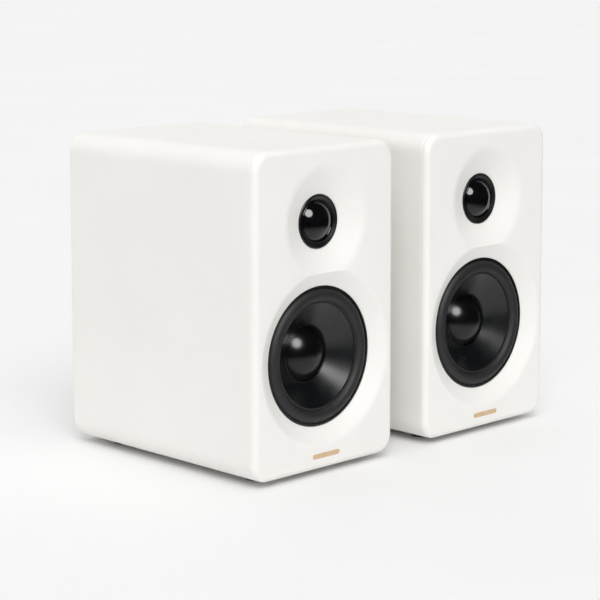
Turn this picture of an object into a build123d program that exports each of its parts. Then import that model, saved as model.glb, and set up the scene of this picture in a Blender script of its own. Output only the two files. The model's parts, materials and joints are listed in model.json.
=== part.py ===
"""A pair of small powered desktop speakers: an active cabinet with the amplifier, and its passive partner.

Each piece is drawn in a cabinet frame: x to the right seen from the front, y going back from the
front face, z up from the underside. place() then carries it into the row frame, whose origin lies
on the table midway between the two cabinets.
"""

import os
from math import asin, atan2, cos, radians, sin, sqrt, tan

from build123d import *

# ---- Cabinet, millimetres ----
WIDTH = 100.0
HEIGHT = 165.0
DEPTH = 143.0
CORNER_R = 10.0  # rounding of the four long edges
FRONT_EDGE_R = 3.5
REAR_EDGE_R = 2.0
WALL = 9.0
BACK_WALL = 12.0
SEAM = 4.5  # depth of the joint between baffle and cabinet
SEAM_BEVEL = 0.2
BAFFLE_T = 10.0
PLUG_PLAY = 0.1  # clearance round the baffle's rebate
FOOT_R = 6.0
FOOT_H = 3.0
FOOT_X = 30.0
FOOT_Y = (20.0, 123.0)

# ---- The pair on the table ----
SPACING = 125.4  # between the cabinets' centre planes
KNOB_OVERHANG = 4.0  # the knobs stand this far behind the cabinet
FRONT_Y = -(DEPTH + KNOB_OVERHANG) / 2
SIDES = {"active": SPACING / 2, "passive": -SPACING / 2}

# ---- Woofer: radii, and depths behind the front face ----
WOOFER_Z = 57.3
DISH_R = 45.0
DISH_DEPTH = 5.2
DISH_ROUND = 1.4  # how far the dish's rim is rounded off, each way from its edge
WOOFER_HOLE_R = 36.2
RIM_R = 36.0
RIM_Y = 5.4
SEAT_R = 35.1
SEAT_Y = 6.8
SURROUND_T = 0.6
ROLL_OUT_R = 34.7
ROLL_IN_R = 27.8
ROLL_HEIGHT = 2.2
LIP_R = 28.2
CONE_R = 27.0
NECK_R = 10.0
NECK_Y = 18.5
CONE_T = 0.7
CAP_R = 14.5
CAP_HEIGHT = 7.6
CAP_T = 0.6
FLANGE_R = 40.0
FLANGE_T = 1.5
BASKET_R = 26.0  # the basket narrows to this behind its windows
BASKET_T = 1.4
EAR_AT = 41.0  # radius of the mounting screws' circle
EAR_R = 4.5
SPIDER_Y = 24.5
SPIDER_T = 0.5
SPIDER_R = 21.5
SPIDER_WAVES = 8
PLATE_Y = 30.5
MAGNET_Y = 34.5
MAGNET_R = 27.5
MAGNET_HOLE_R = 14.0
YOKE_Y = 44.5
YOKE_R = 25.5
WOOFER_END = 48.5
POLE_R = 9.3
FORMER_T = 0.2
COIL_T = 0.45
GAP_R = 10.9
TAG_X = 28.5

# ---- Tweeter ----
TWEETER_Z = 126.2
HORN_R = 28.0
HORN_DEPTH = 6.1
HORN_ROUND = 2.4
THROAT_R = 14.0
FACE_R = 13.8
FACE_Y = 5.6  # front of the faceplate's rounded rim
FACE_RIM_AT = 13.1
FACE_RIM_R = 0.75
FACE_SLOPE = 27.0  # degrees, from the rim down to the dome
FACE_BORE_R = 12.5
DOME_R = 10.1
DOME_HEIGHT = 4.4
DOME_Y = 6.6
DOME_T = 0.4
DOME_ROLL_R = 11.2
DOME_ROLL_HEIGHT = 0.3
DOME_FOOT_R = 12.4
TWEETER_FLANGE_R = 20.5
TWEETER_MOTOR_Y = 12.0
TWEETER_PLATE_T = 2.5
TWEETER_END = 23.0
TWEETER_FLOOR_T = 3.5
TWEETER_YOKE_R = 15.0
TWEETER_SCREWS_AT = 17.6

# ---- Badge, port, rear panel ----
BADGE_W = 19.4
BADGE_H = 2.6
BADGE_T = 0.5
BADGE_Z = 7.3
PORT_Z = 132.0
PORT_R = 13.0
PORT_T = 1.6
PORT_IN_Y = 78.0
PORT_MOUTH_R = 19.0
PORT_FLANGE_R = 21.0
PORT_FLANGE_T = 1.6
PANEL_T = 2.0
PANEL_FACE = 137.0  # depth of the rear panel's outer face
PANEL_LEDGE = 6.0
PANEL_PLAY = 0.2
PANEL_R = 4.0
PANELS = {"active": (76.0, 90.0, 59.0), "passive": (50.0, 44.0, 50.0)}  # width, height, centre z
BEZEL_T = 1.2  # sockets and the switch stand this far out of the panel

# ---- Screws: one size throughout ----
SCREW_R = 1.25
SCREW_L = 5.5
HEAD_R = 2.2
HEAD_T = 1.4
DRIVE = (2.6, 0.6)

# ---- Rear controls and connectors of the active speaker: (x, z) ----
VOLUME_AT = (-22.0, 88.0)
TREBLE_AT = (2.0, 88.0)
BASS_AT = (22.0, 88.0)
VOLUME_R = 8.0
TONE_R = 5.5
KNOB_Y = 138.0
KNOB_END = DEPTH + KNOB_OVERHANG
STEM_R = 3.0
STEM_Y = 126.0
STEM_PLAY = 0.05
RCA_AT = ((-24.0, 60.0), (-9.0, 60.0))
AUX_AT = (8.0, 60.0)
AUX_R = 1.8
AUX_LENGTH = 14.0
AUX_BUSH_R = 3.0
RCA_R = 3.6
BUTTON_AT = (24.0, 60.0)
BUTTON_R = 3.0
BUTTON_COLLAR_R = 4.2
SWITCH_AT = (-24.0, 33.0)
SWITCH_W = 13.0
SWITCH_H = 20.6
INLET_AT = (20.0, 33.0)
INLET_W = 19.6
INLET_H = 11.4
LINK_AT = {"active": (-2.0, 33.0), "passive": (0.0, 50.0)}
LINK_W = 15.0
LINK_H = 9.0
LINK_FRONT = 122.0
ROCKER_PIVOT_Y = 135.6
ROCKER_TILT = 7.0
PIN_R = 1.2
BOARD_Y = 112.0
BOARD_T = 1.6
BOARD_BACK = BOARD_Y + BOARD_T
BOSSES_AT = ((-29.0, 48.0), (29.0, 48.0), (-29.0, 74.0), (29.0, 74.0))
WIRE_R = 0.9
WIRE_GAP = 1.3  # half the distance between the two leads of a pair


# ---- Drawing helpers ----
def ring(points):
    """Turns a closed outline of (radius, depth) points about the driver's axis."""
    return revolve(make_face(Polyline(*points, close=True)), Axis.Y)


def turned(*lines):
    """Turns a closed outline of lines and arcs about the driver's axis."""
    return revolve(make_face(Curve() + list(lines)), Axis.Y)


def slab(sketch, near, far):
    """A sketch in (x, z), as thick as from depth near to depth far."""
    facing = Plane(origin=(0, near, 0), x_dir=(1, 0, 0), z_dir=(0, -1, 0))
    return extrude(facing * sketch, amount=near - far)


def peg(radius, near, far, at=(0.0, 0.0)):
    """A round peg or hole along the depth, at (x, z)."""
    return slab(Pos(*at) * Circle(radius), near, far)


def block(width, height, near, far, at=(0.0, 0.0)):
    """A box along the depth, at (x, z)."""
    return slab(Pos(*at) * Rectangle(width, height), near, far)


def lozenge(width, height, near, far, at=(0.0, 0.0)):
    """A bar with half-round ends along the depth, at (x, z)."""
    return slab(Pos(*at) * SlotOverall(width, height), near, far)


def around(radius, count, start):
    """Places spaced evenly on a circle, as (x, z)."""
    steps = [radians(start + 360 * i / count) for i in range(count)]
    return [(radius * cos(a), radius * sin(a)) for a in steps]


def cap_arc(radius, height, apex):
    """Half the section of a spherical cap, from its apex on the axis to its rim."""
    ball = (radius**2 + height**2) / (2 * height)
    half = asin(radius / ball) / 2
    middle = (ball * sin(half), apex + ball * (1 - cos(half)))
    return ThreePointArc((0, apex), middle, (radius, apex + height))


def at_z(shape, z):
    return Pos(0, 0, z) * shape


def section():
    """The cabinet's outline, in (x, z)."""
    return Pos(0, HEIGHT / 2) * RectangleRounded(WIDTH, HEIGHT, CORNER_R)


# ---- Cabinet pieces ----
def panel_outline(side, shrink=0.0):
    width, height, z = PANELS[side]
    return Pos(0, z) * RectangleRounded(width - 2 * shrink, height - 2 * shrink, PANEL_R - shrink / 2)


def panel_screws(side):
    width, height, z = PANELS[side]
    x, dz = (width - PANEL_LEDGE) / 2, (height - PANEL_LEDGE) / 2
    return [(sx * x, z + sz * dz) for sx in (-1, 1) for sz in (-1, 1)]


def cabinet(side):
    """Box with four walls and a back, stepped for the rear panel and bored for the port."""
    box = slab(section(), SEAM, DEPTH)
    box = fillet(box.faces().sort_by(Axis.Y)[-1].outer_wire().edges(), REAR_EDGE_R)
    box = chamfer(box.faces().sort_by(Axis.Y)[0].outer_wire().edges(), SEAM_BEVEL)
    inside = block(WIDTH - 2 * WALL, HEIGHT - 2 * WALL, SEAM - 1, DEPTH - BACK_WALL, (0, HEIGHT / 2))
    width, height, z = PANELS[side]
    cut_out = block(width - 2 * PANEL_LEDGE, height - 2 * PANEL_LEDGE, BOARD_Y, DEPTH, (0, z))
    pocket = slab(panel_outline(side), PANEL_FACE - PANEL_T, DEPTH + 1)
    bore = peg(PORT_R + PORT_T + PLUG_PLAY, BOARD_Y, DEPTH + 1, (0, PORT_Z))
    box = box - inside - cut_out - pocket - bore
    for at in panel_screws(side):
        box -= peg(SCREW_R, PANEL_FACE - SCREW_L, PANEL_FACE, at)
    return box


def flare(outer, inner, depth, rounding, z):
    """The space in front of a driver: a cone with a rounded rim, and the hole behind."""
    slope = atan2(depth, outer - inner)
    radius = rounding / tan(slope / 2)
    start = (outer + rounding, 0)
    middle = (start[0] - radius * sin(slope / 2), radius * (1 - cos(slope / 2)))
    end = (outer - rounding * cos(slope), rounding * sin(slope))
    behind, ahead = BAFFLE_T + 1, -1
    rest = Polyline(
        end,
        (inner, depth),
        (inner, behind),
        (0, behind),
        (0, ahead),
        (start[0], ahead),
        start,
    )
    return at_z(turned(ThreePointArc(start, middle, end), rest), z)


def front_baffle(side):
    """Front panel with the tweeter's flare, the woofer's dish and a rebate into the cabinet."""
    cap = slab(section(), 0, SEAM)
    cap = fillet(cap.faces().sort_by(Axis.Y)[0].outer_wire().edges(), FRONT_EDGE_R)
    cap = chamfer(cap.faces().sort_by(Axis.Y)[-1].outer_wire().edges(), SEAM_BEVEL)
    plug_w, plug_h = WIDTH - 2 * (WALL + PLUG_PLAY), HEIGHT - 2 * (WALL + PLUG_PLAY)
    panel = cap + block(plug_w, plug_h, SEAM, BAFFLE_T, (0, HEIGHT / 2))
    panel -= flare(DISH_R, WOOFER_HOLE_R, DISH_DEPTH, DISH_ROUND, WOOFER_Z)
    panel -= flare(HORN_R, THROAT_R, HORN_DEPTH, HORN_ROUND, TWEETER_Z)
    panel -= lozenge(BADGE_W, BADGE_H, -1, BADGE_T, (0, BADGE_Z))
    for x, z in around(EAR_AT, 4, 45):
        panel -= peg(SCREW_R, BAFFLE_T + FLANGE_T - SCREW_L, BAFFLE_T, (x, WOOFER_Z + z))
    for x, z in around(TWEETER_SCREWS_AT, 3, 90):
        panel -= peg(SCREW_R, TWEETER_MOTOR_Y - SCREW_L, BAFFLE_T, (x, TWEETER_Z + z))
    return panel


def badge(side):
    return lozenge(BADGE_W, BADGE_H, 0, BADGE_T, (0, BADGE_Z))


def feet(side):
    return [Pos(x, y, -FOOT_H / 2) * Cylinder(FOOT_R, FOOT_H) for x in (-FOOT_X, FOOT_X) for y in FOOT_Y]


def port_tube(side):
    """Reflex port: a tube with a flared mouth and a flange on the cabinet's back."""
    mouth = DEPTH + PORT_FLANGE_T
    outer = PORT_R + PORT_T
    widening = PORT_MOUTH_R - PORT_R
    start = mouth - 1.3 * widening
    bend = (PORT_R + 0.3 * widening, start + 0.72 * (mouth - start))
    trumpet = ThreePointArc((PORT_R, start), bend, (PORT_MOUTH_R, mouth))
    rest = Polyline(
        (PORT_MOUTH_R, mouth),
        (PORT_FLANGE_R, mouth),
        (PORT_FLANGE_R, DEPTH),
        (outer, DEPTH),
        (outer, PORT_IN_Y),
        (PORT_R, PORT_IN_Y),
        (PORT_R, start),
    )
    return at_z(turned(trumpet, rest), PORT_Z)


def rear_panel(side):
    """Plate in the back's pocket, pierced for what the side carries."""
    inner = PANEL_FACE - PANEL_T
    plate = slab(panel_outline(side, PANEL_PLAY), inner, PANEL_FACE)
    near, far = inner - 1, PANEL_FACE + 1
    for at in panel_screws(side):
        plate -= peg(SCREW_R, near, far, at)
    plate -= block(LINK_W, LINK_H, near, far, LINK_AT[side])
    if side == "passive":
        return plate
    for at in (VOLUME_AT, TREBLE_AT, BASS_AT):
        plate -= peg(STEM_R + 0.3, near, far, at)
    for at in RCA_AT:
        plate -= peg(RCA_R, near, far, at)
    plate -= peg(AUX_BUSH_R, near, far, AUX_AT)
    plate -= peg(BUTTON_R + 0.2, near, far, BUTTON_AT)
    plate -= block(SWITCH_W, SWITCH_H, near, far, SWITCH_AT)
    plate -= lozenge(INLET_W, INLET_H, near, far, INLET_AT)
    for at in BOSSES_AT:
        plate += peg(2.4, BOARD_BACK, inner, at)
    return plate


def link_socket(side):
    """Two-blade socket for the cable between the speakers."""
    x, z = LINK_AT[side]
    floor = PANEL_FACE - 10
    body = block(LINK_W, LINK_H, LINK_FRONT, PANEL_FACE, (x, z))
    body += block(LINK_W + 3, LINK_H + 3, PANEL_FACE, PANEL_FACE + BEZEL_T, (x, z))
    body -= block(LINK_W - 2.6, LINK_H - 2.4, floor, PANEL_FACE + 2, (x, z))
    blades = [block(1.0, 4.2, floor, PANEL_FACE - 1.5, (x + dx, z)) for dx in (-4.2, 4.2)]
    return [body, *blades]


def damping_pad(side):
    """Foam sheet glued to a side wall."""
    thickness = 7.5
    return block(thickness, 130.0, 34.0, 84.0, ((thickness - WIDTH) / 2 + WALL, HEIGHT / 2))


def screw(near, at, z=0.0):
    """A pan-head screw driven forwards, with its head's underside at depth near."""
    head = fillet(Cylinder(HEAD_R, HEAD_T).edges().sort_by(Axis.Z)[-1], 0.5)
    long, thin = DRIVE
    cross = Box(long, thin, HEAD_T) + Box(thin, long, HEAD_T)
    body = Pos(0, 0, HEAD_T / 2) * (head - Pos(0, 0, HEAD_T / 2) * cross)
    body += Pos(0, 0, -SCREW_L / 2) * Cylinder(SCREW_R, SCREW_L)
    return Pos(at[0], near, z + at[1]) * Rot(-90, 0, 0) * body


def screws(side):
    """Four for the woofer, three for the tweeter, four for the rear panel."""
    woofer = [screw(BAFFLE_T + FLANGE_T, at, WOOFER_Z) for at in around(EAR_AT, 4, 45)]
    tweeter = [screw(TWEETER_MOTOR_Y, at, TWEETER_Z) for at in around(TWEETER_SCREWS_AT, 3, 90)]
    rear = [screw(PANEL_FACE, at) for at in panel_screws(side)]
    return woofer + tweeter + rear


# ---- Woofer ----
def woofer_frame(side):
    """Basket: rim, flange with four ears, windowed cone and the ledge for the spider."""
    back = BAFFLE_T + FLANGE_T
    under = SPIDER_Y + BASKET_T
    body = ring(
        [
            (RIM_R, RIM_Y),
            (RIM_R, BAFFLE_T),
            (FLANGE_R, BAFFLE_T),
            (FLANGE_R, back),
            (35.0, back),
            (BASKET_R, under),
            (BASKET_R, PLATE_Y),
            (12.5, PLATE_Y),
            (12.5, PLATE_Y - BASKET_T),
            (24.0, PLATE_Y - BASKET_T),
            (24.0, under),
            (SPIDER_R, under),
            (SPIDER_R, SPIDER_Y),
            (24.6, SPIDER_Y),
            (33.0, BAFFLE_T),
            (33.0, SEAT_Y),
            (SEAT_R, SEAT_Y),
            (SEAT_R, RIM_Y),
        ]
    )
    for at in around(EAR_AT, 4, 45):
        body += peg(EAR_R, BAFFLE_T, back, at)
        body -= peg(SCREW_R, BAFFLE_T - 1, back + 1, at)
    for turn in range(0, 360, 90):
        body -= Rot(0, turn, 0) * block(20.0, 22.0, back + 3, SPIDER_Y - 2, (30.0, 0))
    tag = block(6.0, 7.0, PLATE_Y - 2.5, PLATE_Y - 1, (TAG_X, -0.5))
    return at_z(body + tag, WOOFER_Z)


def woofer_surround(side):
    """Half-roll rubber edge between the cone and the frame."""
    top, under = SEAT_Y - SURROUND_T, SEAT_Y
    middle = (ROLL_OUT_R + ROLL_IN_R) / 2
    out_r, in_r = ROLL_OUT_R - SURROUND_T, ROLL_IN_R + SURROUND_T
    lines = [
        Line((SEAT_R, top), (ROLL_OUT_R, top)),
        ThreePointArc((ROLL_OUT_R, top), (middle, top - ROLL_HEIGHT), (ROLL_IN_R, top)),
        Polyline((ROLL_IN_R, top), (CONE_R, top), (CONE_R, under), (in_r, under)),
        ThreePointArc((in_r, under), (middle, under - ROLL_HEIGHT), (out_r, under)),
        Polyline((out_r, under), (SEAT_R, under), (SEAT_R, top)),
    ]
    return at_z(turned(*lines), WOOFER_Z)


def cone_depth(radius):
    """Depth of the cone's front surface at a radius."""
    return SEAT_Y + (CONE_R - radius) * (NECK_Y - SEAT_Y) / (CONE_R - NECK_R)


def woofer_cone(side):
    outline = [
        (LIP_R, SEAT_Y),
        (CONE_R, SEAT_Y),
        (NECK_R, NECK_Y),
        (NECK_R, NECK_Y + CONE_T),
        (CONE_R, SEAT_Y + CONE_T),
        (LIP_R, SEAT_Y + CONE_T),
    ]
    return at_z(ring(outline), WOOFER_Z)


def woofer_dust_cap(side):
    """Domed cap whose foot lies on the cone."""
    rim, inner = cone_depth(CAP_R), cone_depth(CAP_R - CAP_T)
    apex = rim - CAP_HEIGHT
    outside = cap_arc(CAP_R, CAP_HEIGHT, apex)
    inside = cap_arc(CAP_R - CAP_T, inner - apex - CAP_T, apex + CAP_T)
    foot = Line((CAP_R, rim), (CAP_R - CAP_T, inner))
    return at_z(turned(outside, foot, inside, Line((0, apex + CAP_T), (0, apex))), WOOFER_Z)


def woofer_voice_coil(side):
    """Former with its winding, which stands in the magnet's gap."""
    front, back = NECK_Y - 2, MAGNET_Y + 2.5
    coil_front, coil_back = PLATE_Y - 2, MAGNET_Y + 2
    outline = [
        (NECK_R - FORMER_T, front),
        (NECK_R, front),
        (NECK_R, coil_front),
        (NECK_R + COIL_T, coil_front),
        (NECK_R + COIL_T, coil_back),
        (NECK_R, coil_back),
        (NECK_R, back),
        (NECK_R - FORMER_T, back),
    ]
    return at_z(ring(outline), WOOFER_Z)


def woofer_spider(side):
    """Corrugated cloth ring that centres the voice coil."""
    inner = NECK_R + 0.6
    pitch = (SPIDER_R - inner) / SPIDER_WAVES
    top, under = SPIDER_Y - SPIDER_T, SPIDER_Y

    def wave(i, level):
        swing = 0.55 if i % 2 else -0.55
        a, b = inner + i * pitch, inner + (i + 1) * pitch
        return ThreePointArc((a, level), ((a + b) / 2, level + swing), (b, level))

    lines = [wave(i, level) for level in (top, under) for i in range(SPIDER_WAVES)]
    rim = Polyline((SPIDER_R, top), (24.0, top), (24.0, under), (SPIDER_R, under))
    ahead, behind = top - 0.5, under + 0.5
    collar = Polyline(
        (inner, top), (inner, ahead), (NECK_R, ahead), (NECK_R, behind), (inner, behind), (inner, under)
    )
    return at_z(turned(*lines, rim, collar), WOOFER_Z)


def woofer_top_plate(side):
    outline = [(GAP_R, PLATE_Y), (BASKET_R, PLATE_Y), (BASKET_R, MAGNET_Y), (GAP_R, MAGNET_Y)]
    return at_z(ring(outline), WOOFER_Z)


def woofer_magnet(side):
    """Ferrite ring with bevelled outer edges."""
    bevel = 0.8
    outline = [
        (MAGNET_HOLE_R, MAGNET_Y),
        (MAGNET_R - bevel, MAGNET_Y),
        (MAGNET_R, MAGNET_Y + bevel),
        (MAGNET_R, YOKE_Y - bevel),
        (MAGNET_R - bevel, YOKE_Y),
        (MAGNET_HOLE_R, YOKE_Y),
    ]
    return at_z(ring(outline), WOOFER_Z)


def woofer_yoke(side):
    """Back plate and pole piece in one forging."""
    tip = PLATE_Y + 0.5
    pole = [(0, WOOFER_END), (0, tip), (POLE_R, tip), (POLE_R, YOKE_Y)]
    return at_z(ring([*pole, (YOKE_R, YOKE_Y), (YOKE_R, WOOFER_END)]), WOOFER_Z)


# ---- Tweeter ----
def tweeter_faceplate(side):
    """Black ring in the flare's throat: a rounded rim, a slope to the dome, and the tweeter's flange."""
    slope = radians(FACE_SLOPE)
    rim_y = FACE_Y + FACE_RIM_R
    edge = (FACE_R, rim_y - sqrt(FACE_RIM_R**2 - (FACE_R - FACE_RIM_AT) ** 2))
    brow = (FACE_RIM_AT - FACE_RIM_R * sin(slope), rim_y - FACE_RIM_R * cos(slope))
    rest = Polyline(
        brow,
        (DOME_ROLL_R, brow[1] + (brow[0] - DOME_ROLL_R) * tan(slope)),
        (DOME_ROLL_R, DOME_Y),
        (FACE_BORE_R, DOME_Y),
        (FACE_BORE_R, TWEETER_MOTOR_Y),
        (TWEETER_FLANGE_R, TWEETER_MOTOR_Y),
        (TWEETER_FLANGE_R, BAFFLE_T),
        (FACE_R, BAFFLE_T),
        edge,
    )
    body = turned(ThreePointArc(edge, (FACE_RIM_AT, FACE_Y), brow), rest)
    for at in around(TWEETER_SCREWS_AT, 3, 90):
        body -= peg(SCREW_R, BAFFLE_T - 1, TWEETER_MOTOR_Y + 1, at)
    return at_z(body, TWEETER_Z)


def tweeter_dome(side):
    """Fabric dome pressed in one piece with its rolled edge and foot."""
    back = DOME_Y + DOME_T
    roll_mid = (DOME_R + DOME_ROLL_R) / 2
    roll_out, roll_in, dome_in = DOME_ROLL_R - 0.25, DOME_R + 0.25, DOME_R - 0.45
    lines = [
        cap_arc(DOME_R, DOME_HEIGHT, DOME_Y - DOME_HEIGHT),
        ThreePointArc((DOME_R, DOME_Y), (roll_mid, DOME_Y - DOME_ROLL_HEIGHT), (DOME_ROLL_R, DOME_Y)),
        Polyline((DOME_ROLL_R, DOME_Y), (DOME_FOOT_R, DOME_Y), (DOME_FOOT_R, back), (roll_out, back)),
        ThreePointArc((roll_out, back), (roll_mid, back - DOME_ROLL_HEIGHT), (roll_in, back)),
        Line((roll_in, back), (dome_in, back)),
        cap_arc(dome_in, DOME_HEIGHT, back - DOME_HEIGHT),
        Line((0, back - DOME_HEIGHT), (0, DOME_Y - DOME_HEIGHT)),
    ]
    return at_z(turned(*lines), TWEETER_Z)


def tweeter_voice_coil(side):
    """Coil on its former, glued under the dome's edge."""
    outer = DOME_R + 0.15
    near, far = DOME_Y + DOME_T, TWEETER_MOTOR_Y + TWEETER_PLATE_T
    return at_z(ring([(outer - 0.3, near), (outer, near), (outer, far), (outer - 0.3, far)]), TWEETER_Z)


def tweeter_magnet(side):
    """Magnet disc with the pole plate on its front."""
    plate_back = TWEETER_MOTOR_Y + TWEETER_PLATE_T
    plate = peg(DOME_R - 0.6, TWEETER_MOTOR_Y, plate_back, (0, TWEETER_Z))
    magnet = peg(DOME_R - 1.0, plate_back, TWEETER_END - TWEETER_FLOOR_T, (0, TWEETER_Z))
    return [plate, magnet]


def tweeter_yoke(side):
    """Steel cup round the magnet, with a lip that faces the pole plate."""
    floor = TWEETER_END - TWEETER_FLOOR_T
    lip = TWEETER_MOTOR_Y + TWEETER_PLATE_T
    gap = DOME_R + 0.6
    outline = [
        (TWEETER_YOKE_R, TWEETER_MOTOR_Y),
        (TWEETER_YOKE_R, TWEETER_END),
        (0, TWEETER_END),
        (0, floor),
        (12.0, floor),
        (12.0, lip),
        (gap, lip),
        (gap, TWEETER_MOTOR_Y),
    ]
    return at_z(ring(outline), TWEETER_Z)


# ---- Wiring ----
def wire(points):
    """A lead of straight runs and arcs, each arc as large as its runs allow."""
    spots = [Vector(*p) for p in points]
    runs = [b - a for a, b in zip(spots, spots[1:])]
    corners = zip(runs, runs[1:])
    bends = [0.45 * min(a.length, b.length) / tan(radians(a.get_angle(b) / 2)) for a, b in corners]
    path = FilletPolyline(*spots, radius=bends)
    return sweep(Plane(origin=path @ 0, z_dir=path % 0) * Circle(WIRE_R), path=path)


def wiring(side):
    """Two leads to the woofer's tag and two to the back of the tweeter."""
    leads = []
    for step in (-WIRE_GAP, WIRE_GAP):
        woofer_z = WOOFER_Z - 0.5 + step
        tag = (TAG_X + 1.5, PLATE_Y - 1)
        to_woofer = [(32.5, 58, woofer_z - 1), (tag[0], 42, woofer_z), (*tag, woofer_z)]
        to_tweeter = [(12, 44, TWEETER_Z - 9 + step), (7, 32, TWEETER_Z - 4 + step)]
        to_tweeter.append((7, TWEETER_END, TWEETER_Z - 4 + step))
        if side == "active":
            starts = [(27, 56 + step), (26, 92 + step)]
            mids = [(32, 82, 56 + step), (22, 74, 103 + step)]
            near = BOARD_Y
        else:
            x, z = LINK_AT[side]
            starts = [(x + 4, z - 1 + step), (x - 4, z + step)]
            mids = [(26, 84, 53 + step), (3, 80, 92 + step)]
            near = LINK_FRONT
        for (x, z), middle, route in zip(starts, mids, (to_woofer, to_tweeter)):
            leads.append(wire([(x, near, z), (x, near - 14, z), middle, *route]))
    return leads


# ---- Amplifier and rear controls, active speaker only ----
def amplifier_board(side):
    """Circuit board with its capacitors, coils, chip and the button's switch."""
    board = block(62.0, 76.0, BOARD_Y, BOARD_BACK, (0, PANELS[side][2]))
    capacitors = [peg(5.0, BOARD_Y - 18, BOARD_Y, (x, 30.0)) for x in (12.0, 24.0)]
    coils = [peg(5.5, BOARD_Y - 8, BOARD_Y, (x, 45.0)) for x in (10.0, 22.5)]
    chip = block(9.0, 12.0, BOARD_Y - 1.5, BOARD_Y, (-20.0, 75.0))
    tact = block(6.0, 6.0, BOARD_BACK, 123.4, BUTTON_AT)
    return [board, *capacitors, *coils, chip, tact]


def heat_sink(side):
    """Finned block on the power stage."""
    width, height, middle, root = 26.0, 22.0, 6.0, BOARD_Y - 3
    at = (middle, 74.0)
    sink = block(width, height, root, BOARD_Y, at)
    fins = 7
    for i in range(fins):
        x = middle + (width - 1.6) * (i / (fins - 1) - 0.5)
        sink += block(1.6, height, root - 15, root, (x, at[1]))
    return sink


def transformer(side):
    """Power transformer: a laminated core with its bobbin showing at both ends."""
    at = (-15.0, 41.0)
    return block(28.0, 24.0, BOARD_Y - 26, BOARD_Y - 4, at) + block(20.0, 32.0, BOARD_Y - 22, BOARD_Y, at)


def potentiometers(side):
    """Three rotary controls on the board, each with a bush behind the panel."""
    pots = []
    shoulder = STEM_Y - 2
    for at in (VOLUME_AT, TREBLE_AT, BASS_AT):
        pot = block(12.0, 12.0, BOARD_BACK, shoulder, at) + peg(4.4, shoulder, PANEL_FACE - PANEL_T, at)
        pots.append(pot - peg(STEM_R + STEM_PLAY, STEM_Y - 1, PANEL_FACE, at))
    return pots


def knob(radius, at):
    """Knob with grip flutes, a pointer slot and its stem."""
    body = peg(radius, KNOB_Y, KNOB_END)
    body = chamfer(body.faces().sort_by(Axis.Y)[-1].edges(), 0.8)
    flutes = int(radius * 3)
    for place_at in around(radius + 0.55, flutes, 90 + 180 / flutes):
        body -= peg(0.9, KNOB_Y + 2, KNOB_END + 1, place_at)
    body -= block(1.0, radius * 0.6, KNOB_END - 0.6, KNOB_END + 1, (0, radius * 0.62))
    body += peg(STEM_R, STEM_Y, KNOB_Y)
    return Pos(at[0], 0, at[1]) * body


def volume_knob(side):
    return knob(VOLUME_R, VOLUME_AT)


def treble_knob(side):
    return knob(TONE_R, TREBLE_AT)


def bass_knob(side):
    return knob(TONE_R, BASS_AT)


def mode_button(side):
    """Round push button with a collar behind the panel and a stem towards the board's switch."""
    collar_back, collar_front = PANEL_FACE - PANEL_T - 0.4, PANEL_FACE - PANEL_T - 1.6
    cap = peg(BUTTON_R, collar_back, PANEL_FACE + 2)
    cap = fillet(cap.edges().sort_by(Axis.Y)[-1], 0.5)
    body = cap + peg(BUTTON_COLLAR_R, collar_front, collar_back) + peg(1.5, 125.0, collar_front)
    return Pos(BUTTON_AT[0], 0, BUTTON_AT[1]) * body


def switch_housing(side):
    """Bezel and box of the rocker switch."""
    x, z = SWITCH_AT
    body = block(SWITCH_W, SWITCH_H, 123.0, PANEL_FACE, SWITCH_AT)
    body += block(SWITCH_W + 2.6, SWITCH_H + 2.6, PANEL_FACE, PANEL_FACE + BEZEL_T, SWITCH_AT)
    body -= block(SWITCH_W - 2, SWITCH_H - 2.8, ROCKER_PIVOT_Y - 6, PANEL_FACE + 2, SWITCH_AT)
    return body - Pos(x, ROCKER_PIVOT_Y, z) * Rot(0, 90, 0) * Cylinder(PIN_R + STEM_PLAY, SWITCH_W + 1)


def power_rocker(side):
    """Rocker, tilted to off, on two pivot pins."""
    outline = Polyline((-3.2, -8.0), (2.4, -8.2), (1.3, 0), (2.4, 8.2), (-3.2, 8.0), close=True)
    body = extrude(Plane.YZ * make_face(outline), amount=SWITCH_W / 2 - 1.3, both=True)
    body += Rot(0, 90, 0) * Cylinder(PIN_R, SWITCH_W - 0.6)
    return Pos(SWITCH_AT[0], ROCKER_PIVOT_Y, SWITCH_AT[1]) * Rot(ROCKER_TILT, 0, 0) * body


def power_inlet(side):
    """Two-pin mains inlet with a round-ended mouth."""
    x, z = INLET_AT
    floor = PANEL_FACE - 12
    body = lozenge(INLET_W, INLET_H, floor - 5, PANEL_FACE, INLET_AT)
    body += lozenge(INLET_W + 3.4, INLET_H + 2.6, PANEL_FACE, PANEL_FACE + BEZEL_T, INLET_AT)
    body -= lozenge(INLET_W - 3, INLET_H - 3, floor, PANEL_FACE + 2, INLET_AT)
    pins = [peg(1.2, floor, PANEL_FACE - 2, (x + dx, z)) for dx in (-4.3, 4.3)]
    return [body, *pins]


def input_jacks(side):
    """Two round line inputs and one 3.5 mm jack."""
    inner = PANEL_FACE - PANEL_T
    jacks = []
    for at in RCA_AT:
        jack = block(10.0, 10.0, BOARD_BACK, inner, at) + peg(RCA_R, inner - 1, PANEL_FACE, at)
        jack += peg(5.2, PANEL_FACE, PANEL_FACE + 1, at) + peg(4.15, PANEL_FACE + 1, PANEL_FACE + 8, at)
        jacks.append(jack - peg(1.7, PANEL_FACE - 1, PANEL_FACE + 9, at))
    mouth = PANEL_FACE + 1.5
    aux = block(9.0, 9.0, BOARD_BACK, inner, AUX_AT) + peg(AUX_BUSH_R, inner - 1, PANEL_FACE, AUX_AT)
    aux += peg(AUX_BUSH_R + 1, PANEL_FACE, mouth, AUX_AT)
    jacks.append(aux - peg(AUX_R, mouth - AUX_LENGTH, mouth + 1, AUX_AT))
    return jacks


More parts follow.
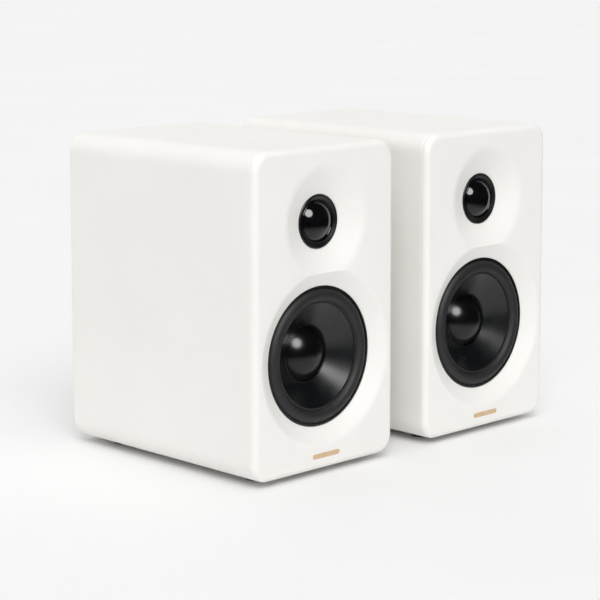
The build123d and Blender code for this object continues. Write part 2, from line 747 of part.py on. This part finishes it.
# ---- Writing the nodes ----
BOTH = [
    cabinet,
    front_baffle,
    badge,
    feet,
    port_tube,
    rear_panel,
    link_socket,
    damping_pad,
    screws,
    wiring,
    woofer_frame,
    woofer_surround,
    woofer_spider,
    woofer_cone,
    woofer_dust_cap,
    woofer_voice_coil,
    woofer_top_plate,
    woofer_magnet,
    woofer_yoke,
    tweeter_faceplate,
    tweeter_dome,
    tweeter_voice_coil,
    tweeter_magnet,
    tweeter_yoke,
]
ACTIVE_ONLY = [
    amplifier_board,
    heat_sink,
    transformer,
    potentiometers,
    volume_knob,
    treble_knob,
    bass_knob,
    mode_button,
    switch_housing,
    power_rocker,
    power_inlet,
    input_jacks,
]


def place(shape, side):
    """Carries a piece, or a list of pieces, from the cabinet frame to the row frame."""
    pieces = shape if isinstance(shape, list) else [shape]
    solids = [solid for piece in pieces for solid in piece.solids()]
    return Pos(SIDES[side], FRONT_Y, FOOT_H) * Compound(children=solids)


def main():
    os.makedirs("parts", exist_ok=True)
    for side in SIDES:
        for make in BOTH:
            export_step(place(make(side), side), f"parts/{side}_{make.__name__}.step")
    for make in ACTIVE_ONLY:
        export_step(place(make("active"), "active"), f"parts/{make.__name__}.step")


main()
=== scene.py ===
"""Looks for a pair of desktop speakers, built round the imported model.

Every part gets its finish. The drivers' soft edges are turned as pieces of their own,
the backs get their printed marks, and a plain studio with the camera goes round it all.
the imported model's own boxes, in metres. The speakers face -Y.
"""

import json
from math import atan2, cos, pi, radians, sin, sqrt

import bmesh
import bpy
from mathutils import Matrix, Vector
from mathutils.bvhtree import BVHTree


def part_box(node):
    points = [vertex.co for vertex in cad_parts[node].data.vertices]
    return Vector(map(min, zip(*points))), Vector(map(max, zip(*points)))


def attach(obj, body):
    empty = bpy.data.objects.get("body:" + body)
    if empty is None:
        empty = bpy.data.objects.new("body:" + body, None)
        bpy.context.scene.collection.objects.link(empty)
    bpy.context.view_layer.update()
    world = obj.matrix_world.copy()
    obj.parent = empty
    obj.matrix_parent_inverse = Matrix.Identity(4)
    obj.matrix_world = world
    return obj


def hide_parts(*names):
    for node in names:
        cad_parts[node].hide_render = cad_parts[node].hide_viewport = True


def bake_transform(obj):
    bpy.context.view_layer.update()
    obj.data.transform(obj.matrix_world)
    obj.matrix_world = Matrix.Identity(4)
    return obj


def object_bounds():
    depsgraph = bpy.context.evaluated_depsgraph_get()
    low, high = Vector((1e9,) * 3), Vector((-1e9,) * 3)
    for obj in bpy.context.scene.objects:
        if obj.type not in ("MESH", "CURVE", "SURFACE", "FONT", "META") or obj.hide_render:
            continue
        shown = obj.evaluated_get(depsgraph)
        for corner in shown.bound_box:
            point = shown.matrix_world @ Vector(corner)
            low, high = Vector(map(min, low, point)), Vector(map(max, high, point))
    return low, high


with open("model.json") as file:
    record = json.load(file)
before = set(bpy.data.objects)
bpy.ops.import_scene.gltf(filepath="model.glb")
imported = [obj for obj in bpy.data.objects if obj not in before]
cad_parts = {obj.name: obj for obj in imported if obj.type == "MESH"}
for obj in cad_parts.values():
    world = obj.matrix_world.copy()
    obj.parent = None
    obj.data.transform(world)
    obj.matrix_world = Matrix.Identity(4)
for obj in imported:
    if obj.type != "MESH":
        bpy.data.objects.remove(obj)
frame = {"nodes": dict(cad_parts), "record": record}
CAD_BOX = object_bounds()
PANEL_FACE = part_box("active_rear_panel")[1].y

MM = 0.001
SIDES = ("active", "passive")

# ---- Soft pieces of the drivers ----
SURROUND_T = 0.6 * MM
ROLL_OUT_R = 34.7 * MM  # outer and inner edge of the surround's half roll
ROLL_IN_R = 27.8 * MM
LIP_R = 27.0 * MM
DOME_T = 0.4 * MM
DOME_ROLL_R = 11.2 * MM
DOME_R = 10.1 * MM
DOME_ROLL_HEIGHT = 0.3 * MM
DOME_ROLL_STEP = 0.2 * MM  # how much narrower the roll is inside, on either edge
BEAD_R = 0.4 * MM
BEAD_GAP = 0.25 * MM  # from the cap's edge to the middle of its bead of glue
BEAD_LIFT = 0.7 * MM

# ---- Marks ----
PRINT_T = 0.04 * MM
FRAME_LINE = 0.3 * MM
FRAME_CORNER = 2 * MM
SCALE_LINE = 0.35 * MM
TICK_FROM = 1.6 * MM  # from a knob's edge
TICK_SHORT = 1.0 * MM
TICK_LONG = 1.6 * MM
SIGN_FROM = 3.4 * MM
SIGN_TURN = 16  # degrees past the last tick
SIGN_HALF = 0.9 * MM
POINTER_AT = 0.62  # middle and half length of a knob's pointer slot, as shares of the knob's radius
POINTER_HALF = 0.3
POINTER_DEPTH = 0.6 * MM
INLAY_W = 0.9 * MM
INLAY_T = 0.55 * MM
INLAY_GAP = 0.5 * MM
ROCKER_LINE = 0.4 * MM
ROCKER_STEP = 5 * MM  # from the rocker's middle to each mark
ROCKER_RING_R = 1.3 * MM
LABEL_HALF = 12 * MM
LABEL_H = 12 * MM
LABEL_T = 0.08 * MM
LABEL_LIFT = 16 * MM  # from the rear panel's top to the label's middle

# ---- Usual span of a noise's values ----
NOISE_LOW = 0.3
NOISE_HIGH = 0.7


# ---- Reading the frame ----
def centre(node):
    low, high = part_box(node)
    return (low + high) / 2


def half_width(node):
    low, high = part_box(node)
    return (high.x - low.x) / 2


# ---- Node trees ----
def connect(tree, socket, value):
    """Links a socket to another one, or gives it a plain value."""
    if isinstance(value, bpy.types.NodeSocket):
        tree.links.new(value, socket)
    else:
        socket.default_value = value


def add(tree, kind, **inputs):
    """A new node, with its inputs set or linked by name."""
    node = tree.nodes.new(kind)
    for key, value in inputs.items():
        connect(tree, node.inputs[key.replace("_", " ")], value)
    return node


def noise(tree, coords, scale, detail=3.0, stretch=(1, 1, 1)):
    """Soft noise whose features are about 1/scale metres across, stretched along any axis."""
    mapped = add(tree, "ShaderNodeMapping", Vector=coords, Scale=stretch)
    return add(tree, "ShaderNodeTexNoise", Vector=mapped.outputs[0], Scale=scale, Detail=detail).outputs[0]


def spread(tree, value, low, high, start=NOISE_LOW, end=NOISE_HIGH):
    """Maps start..end, or else a noise's usual span, onto low..high."""
    limits = {"From_Min": start, "From_Max": end, "To_Min": low, "To_Max": high}
    return add(tree, "ShaderNodeMapRange", Value=value, **limits).outputs[0]


def blend_tones(tree, value, first, second):
    """A colour that goes from the first tone to the second over a noise's usual span."""
    ramp = add(tree, "ShaderNodeValToRGB", Fac=value)
    for stop, place, tone in zip(ramp.color_ramp.elements, (NOISE_LOW, NOISE_HIGH), (first, second)):
        stop.position = place
        stop.color = (*tone, 1)
    return ramp.outputs[0]


def product(tree, first, second):
    node = tree.nodes.new("ShaderNodeMath")
    node.operation = "MULTIPLY"
    connect(tree, node.inputs[0], first)
    connect(tree, node.inputs[1], second)
    return node.outputs[0]


def mix_shaders(tree, share, first, second, target):
    """Sends the first shader to the target socket, or the second by the share."""
    mix = tree.nodes.new("ShaderNodeMixShader")
    connect(tree, mix.inputs[0], share)
    connect(tree, mix.inputs[1], first)
    connect(tree, mix.inputs[2], second)
    connect(tree, target, mix.outputs[0])


def finish(name, tones, rough, mottle, grain, depth, stretch=(1, 1, 1), **sockets):
    """A finish whose tone and roughness wander over patches, with a grain embossed to a depth in millimetres.

    Patches are about 1/mottle metres across and the grain 1/grain. The sockets are the shader's own.
    """
    material = bpy.data.materials.new(name)
    material.use_nodes = True
    tree = material.node_tree
    coords = add(tree, "ShaderNodeTexCoord").outputs["Object"]
    patches = noise(tree, coords, mottle)
    fine = noise(tree, coords, grain, 2.0, stretch)
    bump = add(tree, "ShaderNodeBump", Height=fine, Distance=depth * MM)
    shader = tree.nodes["Principled BSDF"]
    connect(tree, shader.inputs["Base Color"], blend_tones(tree, patches, *tones))
    connect(tree, shader.inputs["Roughness"], spread(tree, patches, *rough))
    connect(tree, shader.inputs["Normal"], bump.outputs[0])
    for key, value in sockets.items():
        shader.inputs[key.replace("_", " ")].default_value = value
    return material


# ---- Finishes, by the record's material slots ----
def white_lacquer(name):
    return finish(name, ((0.86, 0.845, 0.815), (0.88, 0.865, 0.835)), (0.5, 0.58), 25, 1300, 0.012)


def gold_trim(name):
    tones = ((0.66, 0.47, 0.27), (0.76, 0.57, 0.35))
    return finish(name, tones, (0.32, 0.42), 900, 2500, 0.008, (0.05, 1, 1), Metallic=0.5)


def black_moulding(rough, mottle, grain, depth):
    """Maker of black plastic or rubber."""
    tones = ((0.007, 0.007, 0.0075), (0.012, 0.012, 0.0125))
    return lambda name: finish(name, tones, rough, mottle, grain, depth)


def frame_black(name):
    return finish(name, ((0.003, 0.003, 0.0035), (0.005, 0.005, 0.0055)), (0.3, 0.4), 220, 2400, 0.02)


def edge_rubber(name):
    return finish(name, ((0.007, 0.007, 0.0075), (0.011, 0.011, 0.0115)), (0.55, 0.63), 250, 2400, 0.02)


def cone_black(name):
    return finish(name, ((0.0015, 0.0024, 0.0034), (0.0025, 0.0036, 0.0048)), (0.27, 0.31), 200, 2600, 0.004)


def gloss(rough, mottle, grain, level):
    """Maker of glossy black, with the level of its gloss."""
    tones = ((0.002, 0.002, 0.0025), (0.003, 0.003, 0.004))
    return lambda name: finish(name, tones, rough, mottle, grain, 0.002, Specular_IOR_Level=level)


def foam(name):
    return finish(name, ((0.42, 0.43, 0.45), (0.58, 0.59, 0.6)), (0.9, 1.0), 400, 1500, 0.4)


def spider_cloth(name):
    return finish(name, ((0.55, 0.38, 0.16), (0.68, 0.5, 0.25)), (0.8, 0.9), 800, 2600, 0.2)


def wire_insulation(name):
    return finish(name, ((0.35, 0.02, 0.02), (0.45, 0.03, 0.025)), (0.35, 0.45), 300, 2000, 0.02)


def circuit_board(name):
    return finish(name, ((0.01, 0.10, 0.035), (0.02, 0.16, 0.06)), (0.25, 0.4), 350, 1500, 0.02)


def ferrite(name):
    return finish(name, ((0.05, 0.05, 0.052), (0.09, 0.09, 0.09)), (0.6, 0.75), 300, 1800, 0.06)


def blackened_steel(name):
    return finish(name, ((0.03, 0.03, 0.03), (0.07, 0.07, 0.07)), (0.3, 0.45), 500, 2500, 0.01, Metallic=0.9)


def steel(rough, mottle, grain, depth):
    """Maker of bright plated steel."""
    tones = ((0.52, 0.52, 0.50), (0.64, 0.63, 0.60))
    return lambda name: finish(name, tones, rough, mottle, grain, depth, Metallic=1.0)


def copper(name):
    tones = ((0.55, 0.22, 0.09), (0.68, 0.3, 0.13))
    return finish(name, tones, (0.25, 0.4), 500, 2600, 0.05, (1, 4, 1), Metallic=1.0)


def aluminium(name):
    tones = ((0.6, 0.61, 0.62), (0.7, 0.71, 0.72))
    return finish(name, tones, (0.3, 0.42), 150, 2200, 0.02, (1, 1, 0.04), Metallic=1.0)


MAKERS = {
    "white_lacquer": white_lacquer,
    "gold_trim": gold_trim,
    "foot_rubber": black_moulding((0.75, 0.9), 300, 2200, 0.05),
    "black_plastic": black_moulding((0.42, 0.55), 220, 2400, 0.03),
    "panel_black": black_moulding((0.5, 0.6), 150, 1900, 0.05),
    "foam": foam,
    "blackened_steel": blackened_steel,
    "wire_insulation": wire_insulation,
    "frame_black": frame_black,
    "edge_rubber": edge_rubber,
    "spider_cloth": spider_cloth,
    "cone_black": cone_black,
    "gloss_black": gloss((0.2, 0.24), 120, 700, 0.38),
    "dome_gloss": gloss((0.08, 0.1), 300, 900, 0.42),
    "copper": copper,
    "plated_steel": steel((0.25, 0.4), 150, 2000, 0.01),
    "ferrite": ferrite,
    "circuit_board": circuit_board,
    "aluminium": aluminium,
    "knob_plastic": black_moulding((0.34, 0.46), 300, 2400, 0.02),
    "jack_metal": steel((0.16, 0.26), 400, 2400, 0.004),
}
FINISH = {slot: make(slot) for slot, make in MAKERS.items()}


def dress(node_name, material):
    """Gives a CAD node its finish."""
    slots = frame["nodes"][node_name].data.materials
    slots.clear()
    slots.append(material)


for row in frame["record"]["subparts"]:
    dress(row["node"], FINISH[row["material_slot"]])


# ---- Mesh work ----
def mesh_object(name, verts, faces, slot):
    """An object whose copies of a point are welded, smooth but for its sharp edges."""
    mesh = bpy.data.meshes.new(name)
    mesh.from_pydata(verts, [], faces)
    work = bmesh.new()
    work.from_mesh(mesh)
    bmesh.ops.remove_doubles(work, verts=work.verts, dist=1e-7)
    bmesh.ops.recalc_face_normals(work, faces=work.faces)
    work.to_mesh(mesh)
    work.free()
    mesh.polygons.foreach_set("use_smooth", [True] * len(mesh.polygons))
    mesh.set_sharp_from_angle(angle=radians(35))
    mesh.materials.append(FINISH[slot])
    piece = bpy.data.objects.new(name, mesh)
    bpy.context.scene.collection.objects.link(piece)
    return piece


def lathe(name, outline, axis_point, slot, segments=160):
    """Turns a closed outline of (radius, depth) about the Y axis through a point; depth is along +Y."""
    verts = []
    faces = []
    count = len(outline)
    for i in range(segments):
        turn = 2 * pi * i / segments
        for radius, depth in outline:
            verts.append((axis_point.x + radius * cos(turn), depth, axis_point.z + radius * sin(turn)))
        here, ahead = i * count, (i + 1) % segments * count
        for j in range(count):
            k = (j + 1) % count
            faces.append((here + j, ahead + j, ahead + k, here + k))
    return mesh_object(name, verts, faces, slot)


def arc(start, end, rise, steps):
    """Points (radius, depth) of a circular arc from start to end that rises towards the front."""
    chord = end[0] - start[0]
    middle = (start[0] + end[0]) / 2
    circle_r = ((chord / 2) ** 2 + rise**2) / (2 * rise)
    points = []
    for i in range(steps + 1):
        radius = start[0] + chord * i / steps
        base = start[1] + (end[1] - start[1]) * i / steps
        height = sqrt(max(circle_r**2 - (radius - middle) ** 2, 0)) - (circle_r - rise)
        points.append((radius, base - height))
    return points


# ---- Soft pieces ----
def soften(piece):
    """Bakes a round piece's placement into its mesh."""
    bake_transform(piece)


def woofer_surround(side):
    """The rubber edge: a flange on the frame, a half roll and a lip glued to the cone."""
    node = f"{side}_woofer_surround"
    low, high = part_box(node)
    edge = half_width(node)
    top, under = high.y - SURROUND_T, high.y
    rise = top - low.y
    outer_roll = arc((ROLL_OUT_R, top), (ROLL_IN_R, top), rise, 28)
    inner_roll = arc((ROLL_IN_R + SURROUND_T, under), (ROLL_OUT_R - SURROUND_T, under), rise, 28)
    outline = [(edge, top), *outer_roll, (LIP_R, top), (LIP_R, under), *inner_roll, (edge, under)]
    piece = lathe(f"{side}_rubber_surround", outline, centre(node), "edge_rubber")
    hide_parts(node)
    soften(piece)


def tweeter_dome(side):
    """The dome with its rolled edge and glued foot."""
    node = f"{side}_tweeter_dome"
    low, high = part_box(node)
    foot = half_width(node)
    top, under = high.y - DOME_T, high.y
    rise = top - low.y
    steps = 32  # from the dome's edge to its crown
    outer_roll = arc((DOME_ROLL_R, top), (DOME_R, top), DOME_ROLL_HEIGHT, 12)
    outer_dome = arc((DOME_R, top), (-DOME_R, top), rise, 2 * steps)[1 : steps + 1]
    inner_dome = arc((DOME_T - DOME_R, under), (DOME_R - DOME_T, under), rise, 2 * steps)[steps:]
    roll_in, roll_out = DOME_R + DOME_ROLL_STEP, DOME_ROLL_R - DOME_ROLL_STEP
    inner_roll = arc((roll_in, under), (roll_out, under), DOME_ROLL_HEIGHT, 12)
    outline = [(foot, top), *outer_roll, *outer_dome, *inner_dome, *inner_roll, (foot, under)]
    piece = lathe(f"{side}_dome_with_edge", outline, centre(node), "dome_gloss")
    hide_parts(node)
    soften(piece)


def cap_bead(side):
    """The bead of glue round the foot of the dust cap."""
    cap = f"{side}_woofer_dust_cap"
    radius, depth = half_width(cap) + BEAD_GAP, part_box(cap)[1].y - BEAD_LIFT
    turns = [2 * pi * i / 16 for i in range(16)]
    outline = [(radius + BEAD_R * cos(a), depth + BEAD_R * sin(a)) for a in turns]
    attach(lathe(f"{side}_cap_bead", outline, centre(cap), "gloss_black"), f"{side}_woofer")


for each_side in SIDES:
    woofer_surround(each_side)
    tweeter_dome(each_side)
    cap_bead(each_side)


# ---- Marks and small trim; outlines and places are (x, z) ----
def around(place, radius, degrees_from_top):
    """A place at a radius and a turn from the top, clockwise seen from the front."""
    turn = radians(degrees_from_top)
    return place[0] + radius * sin(turn), place[1] + radius * cos(turn)


def bar(start, end, width, steps=6):
    """Outline of a round-ended bar from one place to another."""
    angle = atan2(end[1] - start[1], end[0] - start[0])
    points = []
    for (x, z), turn in ((end, angle - pi / 2), (start, angle + pi / 2)):
        for i in range(steps + 1):
            a = turn + pi * i / steps
            points.append((x + width / 2 * cos(a), z + width / 2 * sin(a)))
    return points


def ring_of_bars(spots, width):
    """Bars that join places to a closed line."""
    return [bar(a, b, width) for a, b in zip(spots, spots[1:] + spots[:1])]


def box_lines(middle, width, height):
    """Bars that draw a rectangle with its corners cut."""
    w, h = width / 2, height / 2
    near_w, near_h = w - FRAME_CORNER, h - FRAME_CORNER
    spots = [(near_w, h), (-near_w, h), (-w, near_h), (-w, -near_h)]
    spots += [(-near_w, -h), (near_w, -h), (w, -near_h), (w, near_h)]
    return ring_of_bars([(middle[0] + dx, middle[1] + dz) for dx, dz in spots], FRAME_LINE)


def raised(name, outlines, depth_at, height, slot, body):
    """Flat marks that stand off a face, whose depth at each (x, z) depth_at tells, and ride on a body."""
    verts, faces = [], []
    for outline in outlines:
        count, first = len(outline), len(verts)
        for lift in (0, height):
            verts += [(x, depth_at(x, z) + lift, z) for x, z in outline]
        faces.append([first + i for i in range(count)][::-1])
        faces.append([first + count + i for i in range(count)])
        for i in range(count):
            j = (i + 1) % count
            faces.append((first + i, first + j, first + count + j, first + count + i))
    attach(mesh_object(name, verts, faces, slot), body)


def flat(depth):
    """A flat face at a depth."""
    return lambda x, z: depth


def back_of(node):
    """The back face of a node, wherever it stands."""
    surface = BVHTree.FromObject(frame["nodes"][node], bpy.context.evaluated_depsgraph_get())
    behind = 0.1  # metres, further back than any part
    return lambda x, z: surface.ray_cast(Vector((x, behind, z)), Vector((0, -1, 0)))[0].y


def dial(control, sweep):
    """Ticks round a knob, a minus and a plus past their ends, and the inlay of the knob's pointer."""
    knob = f"{control}_knob"
    radius = half_width(knob)
    place = (centre(knob).x, centre(knob).z)
    marks = []
    for i in range(11):
        turn = sweep * (i / 5 - 1)
        length = TICK_SHORT if i % 5 else TICK_LONG
        tick_from = around(place, radius + TICK_FROM, turn)
        tick_to = around(place, radius + TICK_FROM + length, turn)
        marks.append(bar(tick_from, tick_to, SCALE_LINE))
    for end in (-1, 1):
        x, z = around(place, radius + SIGN_FROM, end * (sweep + SIGN_TURN))
        marks.append(bar((x - SIGN_HALF, z), (x + SIGN_HALF, z), SCALE_LINE))
        if end < 0:
            marks.append(bar((x, z - SIGN_HALF), (x, z + SIGN_HALF), SCALE_LINE))
    raised(f"{control}_scale", marks, flat(PANEL_FACE), PRINT_T, "white_lacquer", "active_speaker")
    middle, half = place[1] + radius * POINTER_AT, radius * POINTER_HALF - INLAY_GAP
    inlay = bar((place[0], middle - half), (place[0], middle + half), INLAY_W)
    floor_of_slot = flat(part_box(knob)[1].y - POINTER_DEPTH)
    raised(f"{control}_pointer", [inlay], floor_of_slot, INLAY_T, "white_lacquer", control)


def frames(name, body, groups):
    """Line frames printed on a rear panel: a node, a width, a height and a shift along X for each."""
    outlines = []
    for node, width, height, shift in groups:
        place = centre(node)
        outlines += box_lines((place.x + shift, place.z), width, height)
    raised(name, outlines, flat(PANEL_FACE), PRINT_T, "white_lacquer", body)


def phono_collars():
    """Insulators in the mouths of the two phono sockets, one white and one red."""
    low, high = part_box("input_jacks")
    first, pitch = 5.2 * MM, 15 * MM
    inner, outer, proud, taper = 1.8 * MM, 3.2 * MM, 0.2 * MM, 0.1 * MM
    end = high.y
    outline = [(inner, end), (outer, end), (outer - taper, end + proud), (inner + taper, end + proud)]
    for i, slot in enumerate(("white_lacquer", "wire_insulation")):
        place = Vector((low.x + first + pitch * i, end, centre("input_jacks").z))
        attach(lathe(f"phono_insulator_{i + 1}", outline, place, slot, 64), "active_speaker")


def rocker_marks():
    """A bar on the rocker's upper half and a ring on its lower one."""
    middle = centre("power_rocker")
    upper, lower = middle.z + ROCKER_STEP, middle.z - ROCKER_STEP
    ring = [around((middle.x, lower), ROCKER_RING_R, 20 * i) for i in range(18)]
    outlines = [bar((middle.x, upper - ROCKER_RING_R), (middle.x, upper + ROCKER_RING_R), ROCKER_LINE)]
    outlines += ring_of_bars(ring, ROCKER_LINE)
    raised("rocker_marks", outlines, back_of("power_rocker"), 0.05 * MM, "white_lacquer", "power")


def rating_label():
    """A blank silver label with ruled lines, on the passive cabinet's back."""
    x, back = centre("passive_cabinet").x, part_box("passive_cabinet")[1].y
    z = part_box("passive_rear_panel")[1].z + LABEL_LIFT
    plate = bar((x - LABEL_HALF, z), (x + LABEL_HALF, z), LABEL_H, 12)
    raised("rating_label", [plate], flat(back), LABEL_T, "aluminium", "passive_speaker")
    row_start, row_end, row_line = x - 10 * MM, x + 8 * MM, 0.5 * MM
    rows = []
    for i in range(4):
        row_z = z + (3 - 2 * i) * MM
        rows.append(bar((row_start, row_z), (row_end - 2 * i * MM, row_z), row_line))
    raised("rating_lines", rows, flat(back + LABEL_T), 0.03 * MM, "black_plastic", "passive_speaker")


dial("volume", 150)
dial("treble", 140)
dial("bass", 140)
frames("active_panel_lines", "active_speaker", (
    ("input_jacks", 48 * MM, 15 * MM, 0),
    ("mode_button", 12 * MM, 15 * MM, 0),
    ("power_inlet", 45.5 * MM, 18 * MM, -9.75 * MM),
))
frames("passive_panel_lines", "passive_speaker", (("passive_link_socket", 24 * MM, 18 * MM, 0),))
phono_collars()
rocker_marks()
rating_label()


# ---- Studio ----
def toward(azimuth, elevation):
    """The way from the pair to a light or the camera. Azimuth 0 is the side that the speakers face."""
    turn, lift = radians(azimuth), radians(elevation)
    return Vector((sin(turn) * cos(lift), -cos(turn) * cos(lift), sin(lift)))


def lamp(name, kind, azimuth, elevation, distance=1.0):
    """A light that shines at the middle of the pair."""
    light = bpy.data.objects.new(name, bpy.data.lights.new(name, kind))
    away = toward(azimuth, elevation)
    light.location = Vector((0, 0, 90 * MM)) + away * distance
    light.rotation_euler = (-away).to_track_quat("-Z", "Y").to_euler()
    bpy.context.scene.collection.objects.link(light)
    return light


def sun(name, azimuth, elevation, width, strength):
    """Broad light, as wide as width in degrees, which gloss doesn't show."""
    light = lamp(name, "SUN", azimuth, elevation)
    light.data.angle = radians(width)
    light.data.energy = strength
    light.visible_glossy = False


def lights():
    """A key from the upper left, two fills, and a softbox that only gloss shows."""
    sun("key", azimuth=-39, elevation=46, width=35, strength=1.2)
    sun("top_fill", azimuth=0, elevation=88, width=40, strength=0.6)
    sun("camera_fill", azimuth=-50, elevation=10, width=30, strength=0.3)
    softbox = lamp("softbox", "AREA", azimuth=-24, elevation=33, distance=1.6)
    softbox.data.shape = "DISK"
    softbox.data.size = 0.85
    softbox.data.energy = 25
    softbox.visible_diffuse = False


def floor():
    """A white table whose far parts look dark to gloss."""
    paint = finish("floor_paint", ((0.89, 0.89, 0.89), (0.91, 0.91, 0.91)), (0.6, 0.7), 4, 200, 0.02)
    tree = paint.node_tree
    distance = tree.nodes.new("ShaderNodeVectorMath")
    distance.operation = "LENGTH"
    connect(tree, distance.inputs[0], add(tree, "ShaderNodeTexCoord").outputs["Object"])
    far = spread(tree, distance.outputs["Value"], 0, 1, start=0.2, end=0.38)
    unseen = product(tree, far, add(tree, "ShaderNodeLightPath").outputs["Is Glossy Ray"])
    dark = add(tree, "ShaderNodeBsdfDiffuse", Color=(0.02, 0.02, 0.02, 1))
    pale = tree.nodes["Principled BSDF"].outputs[0]
    mix_shaders(tree, unseen, pale, dark.outputs[0], tree.nodes["Material Output"].inputs[0])
    reach = 30.0
    mesh = bpy.data.meshes.new("floor")
    corners = [(-reach, -reach, 0), (reach, -reach, 0), (reach, reach, 0), (-reach, reach, 0)]
    mesh.from_pydata(corners, [], [(0, 1, 2, 3)])
    mesh.materials.append(paint)
    ground = bpy.data.objects.new("floor", mesh)
    bpy.context.scene.collection.objects.link(ground)


def surroundings():
    """Even pale light from all round, which gloss shows only behind the pair, as a backdrop."""
    world = bpy.data.worlds.new("studio")
    world.use_nodes = True
    world.cycles.sampling_method = "NONE"  # light sampled straight from the world would reach gloss too
    bpy.context.scene.world = world
    tree = world.node_tree
    way = add(tree, "ShaderNodeSeparateXYZ", Vector=add(tree, "ShaderNodeTexCoord").outputs["Generated"])
    backdrop = spread(tree, way.outputs["Y"], 0.03, 0.95, start=0.05, end=0.45)
    pale = add(tree, "ShaderNodeBackground", Color=(1, 1, 1, 1), Strength=0.56)
    room = add(tree, "ShaderNodeBackground", Color=(1, 1, 1, 1), Strength=backdrop)
    glossy = add(tree, "ShaderNodeLightPath").outputs["Is Glossy Ray"]
    mix_shaders(tree, glossy, pale.outputs[0], room.outputs[0], tree.nodes["World Output"].inputs[0])


def camera():
    """The view: from the front left, a little above, with a long lens."""
    azimuth, elevation, distance = -44.9, 7.28, 0.9896
    target = Vector((centre("passive_cabinet").x - 18.9 * MM, CAD_BOX[0].y, 146.7 * MM))
    data = bpy.data.cameras.new("camera")
    data.sensor_width = 36.0
    data.lens = 120.4
    data.shift_y = -0.181
    data.clip_start = 0.05
    data.clip_end = 100.0
    view = bpy.data.objects.new("camera", data)
    view.location = target + toward(azimuth, elevation) * distance
    view.rotation_euler = (pi / 2 - radians(elevation), 0, radians(azimuth))
    bpy.context.scene.collection.objects.link(view)
    bpy.context.scene.camera = view


surroundings()
floor()
lights()
camera()
bpy.context.scene.view_settings.view_transform = "Standard"
